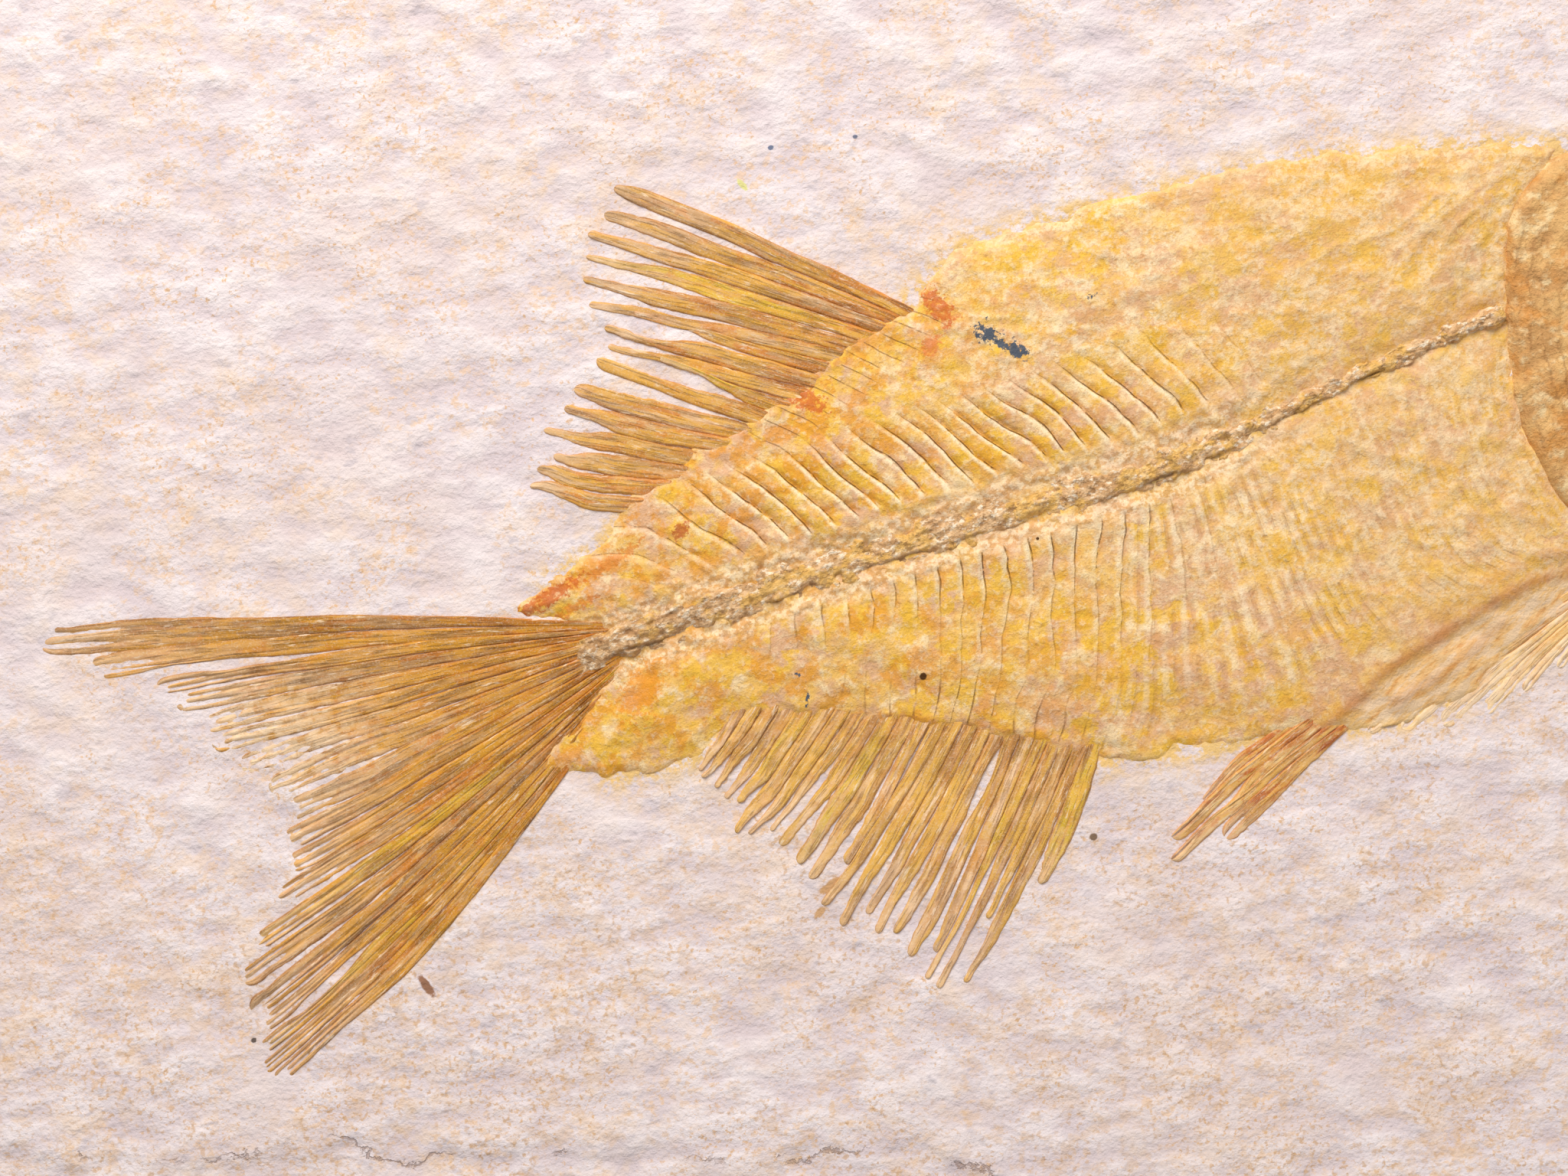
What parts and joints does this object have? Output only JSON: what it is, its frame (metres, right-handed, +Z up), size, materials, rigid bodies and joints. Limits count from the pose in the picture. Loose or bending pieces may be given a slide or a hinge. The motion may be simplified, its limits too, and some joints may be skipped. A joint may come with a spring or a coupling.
{
  "type": "fossil fish slab",
  "caption": "Flattened deep-bodied bony fish with fins and backbone, lying in the split face of a flat-backed slab of pale limestone with broken edges.",
  "frame": {"origin": "middle of the slab's flat back, which it rests on", "axes": "+X from the fish's tail towards its head, +Y towards the fish's back, +Z up out of the split face"},
  "size_m": [0.188, 0.146, 0.0143],
  "materials": {
    "limestone": "dull, fine-grained",
    "flank": "dull, finely ribbed",
    "bone": "dull",
    "head_bone": "satin",
    "fin_rays": "satin",
    "pelvic_rays": "satin"
  },
  "bodies": {
    "root": {"slab": "limestone", "body": "flank", "backbone": "bone", "gill_cover": "head_bone", "skull": "head_bone", "lower_jaw": "head_bone", "dorsal_fin": "fin_rays", "anal_fin": "fin_rays", "tail_fin": "fin_rays", "pectoral_fin": "fin_rays", "pelvic_fin": "pelvic_rays"}
  },
  "joints": []
}
